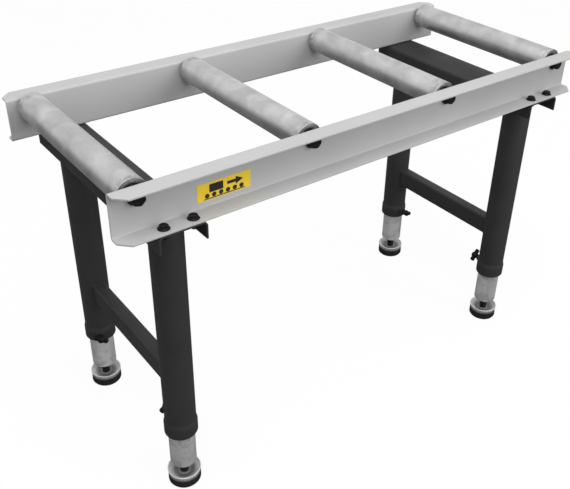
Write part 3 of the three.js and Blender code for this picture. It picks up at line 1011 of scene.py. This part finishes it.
def build_label():
    """Yellow film with a plain pictogram: a box on a row of rollers, and an arrow."""
    low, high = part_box("label_plate")
    centre = (low + high) / 2
    half_x, half_z = (high.x - low.x) / 2, (high.z - low.z) / 2
    web = -WEB_FACE["near"]
    face = web - LABEL_FILM_DEPTH

    def plate(outline, y_back, y_front):
        rings = [[(centre.x + p.x, y, centre.z + p.y) for p in outline] for y in (y_back, y_front)]
        return swept(rings)

    def mark(outline):
        return plate(outline, face - 0.01 * MM, face - 0.05 * MM)

    def disc(x, z, radius):
        return [Vector((x + px, z + pz)) for px, pz, _ in round_ring(radius, 0.0, 32)]

    def rounded(x_low, z_low, x_high, z_high, radius):
        corners = [(x_low, z_low), (x_high, z_low), (x_high, z_high), (x_low, z_high)]
        return filleted([(x, z, radius) for x, z in corners])

    def block(x_low, z_low, x_high, z_high, radius):
        return rounded(*(size * MM for size in (x_low, z_low, x_high, z_high, radius)))

    film = plate(rounded(-half_x, -half_z, half_x, half_z, LABEL_CORNER), web - 0.02 * MM, face)
    add_piece("label_sheet", film, "frame", LABEL_FILM, ["label_plate"])

    roller_z, roller_radius = PICTOGRAM_ROLLER_Z * MM, PICTOGRAM_ROLLER_RADIUS * MM
    parts = [mark(disc(x * MM, roller_z, roller_radius)) for x in PICTOGRAM_ROLLERS]
    parts.append(mark(block(-36, -13, 36, -11.3, 0)))
    parts.append(mark(block(-26, -2.4, -2, 11, 0.8)))
    parts.append(mark([Vector((x * MM, z * MM)) for x, z in PICTOGRAM_ARROW]))
    add_piece("label_pictogram", merged(*parts), "frame", LABEL_INK)


# ---------------------------------------------------------------- build everything

for side in SIDES:
    build_rail(side)
for number in ROLLERS:
    build_roller(number)
for end in ENDS:
    build_cross_member(end)
    build_brace(end)
for end, side in PLACES:
    build_outer_leg(end, side)
    build_clamp(end, side)
    build_inner_leg(f"{end}_{side}")
    build_foot(f"{end}_{side}")
    for letter in "ab":
        build_frame_bolt(end, side, letter)
build_label()


# ---------------------------------------------------------------- stage, light and camera


def make_floor():
    """A wide floor. Seen directly it is almost white; the light that it throws back is dim."""
    mesh = bpy.data.meshes.new("floor")
    h = FLOOR_HALF
    mesh.from_pydata([(-h, -h, 0), (h, -h, 0), (h, h, 0), (-h, h, 0)], [], [(0, 1, 2, 3)])
    look = bpy.data.materials.new("floor_pale")
    look.use_nodes = True
    tree = look.node_tree
    tree.nodes.clear()
    lit = tree.nodes.new("ShaderNodeBsdfDiffuse")
    lit.inputs["Color"].default_value = (0.9, 0.9, 0.9, 1)
    glow = tree.nodes.new("ShaderNodeEmission")
    seen = tree.nodes.new("ShaderNodeMixShader")
    seen.inputs["Fac"].default_value = FLOOR_GLOW
    bounce = tree.nodes.new("ShaderNodeBsdfDiffuse")
    bounce.inputs["Color"].default_value = (FLOOR_BOUNCE, FLOOR_BOUNCE, FLOOR_BOUNCE, 1)
    path = tree.nodes.new("ShaderNodeLightPath")
    choose = tree.nodes.new("ShaderNodeMixShader")
    output = tree.nodes.new("ShaderNodeOutputMaterial")
    tree.links.new(lit.outputs[0], seen.inputs[1])
    tree.links.new(glow.outputs[0], seen.inputs[2])
    tree.links.new(path.outputs["Is Camera Ray"], choose.inputs["Fac"])
    tree.links.new(bounce.outputs[0], choose.inputs[1])
    tree.links.new(seen.outputs[0], choose.inputs[2])
    tree.links.new(choose.outputs[0], output.inputs["Surface"])
    mesh.materials.append(look)
    floor = bpy.data.objects.new("floor", mesh)
    bpy.context.scene.collection.objects.link(floor)


def make_world():
    world = bpy.data.worlds.new("studio")
    world.use_nodes = True
    tree = world.node_tree
    background = tree.nodes["Background"]
    path = tree.nodes.new("ShaderNodeLightPath")
    strength = tree.nodes.new("ShaderNodeMapRange")
    strength.inputs["To Min"].default_value = SKY_LIGHT
    strength.inputs["To Max"].default_value = SKY_SEEN
    tree.links.new(path.outputs["Is Camera Ray"], strength.inputs["Value"])
    tree.links.new(strength.outputs["Result"], background.inputs["Strength"])
    background.inputs["Color"].default_value = (1, 1, 1, 1)
    bpy.context.scene.world = world


def make_light(name, place, aim, size, power):
    data = bpy.data.lights.new(name, "AREA")
    data.shape = "DISK"
    data.size = size
    data.energy = power
    light = bpy.data.objects.new(name, data)
    light.location = place
    light.rotation_mode = "QUATERNION"
    light.rotation_quaternion = (Vector(aim) - Vector(place)).to_track_quat("-Z", "Y")
    bpy.context.scene.collection.objects.link(light)


def make_camera():
    data = bpy.data.cameras.new("camera")
    data.sensor_width = 36
    data.lens = CAMERA_LENS
    data.shift_x, data.shift_y = CAMERA_SHIFT
    data.clip_start, data.clip_end = 0.01, 100
    forward = Vector(
        (
            math.cos(CAMERA_PITCH) * math.sin(CAMERA_YAW),
            math.cos(CAMERA_PITCH) * math.cos(CAMERA_YAW),
            -math.sin(CAMERA_PITCH),
        )
    )
    level = Vector((math.cos(CAMERA_YAW), -math.sin(CAMERA_YAW), 0))
    upright = level.cross(forward)
    right = math.cos(CAMERA_ROLL) * level + math.sin(CAMERA_ROLL) * upright
    up = math.cos(CAMERA_ROLL) * upright - math.sin(CAMERA_ROLL) * level
    camera = bpy.data.objects.new("camera", data)
    turn = Matrix((right, up, -forward)).transposed()
    camera.matrix_world = Matrix.Translation(CAMERA_PLACE) @ turn.to_4x4()
    bpy.context.scene.collection.objects.link(camera)
    bpy.context.scene.camera = camera


make_floor()
make_world()
for name, (place, aim, size, power) in LIGHTS.items():
    make_light(name, place, aim, size, power)
make_camera()
bpy.context.scene.view_settings.view_transform = "Standard"
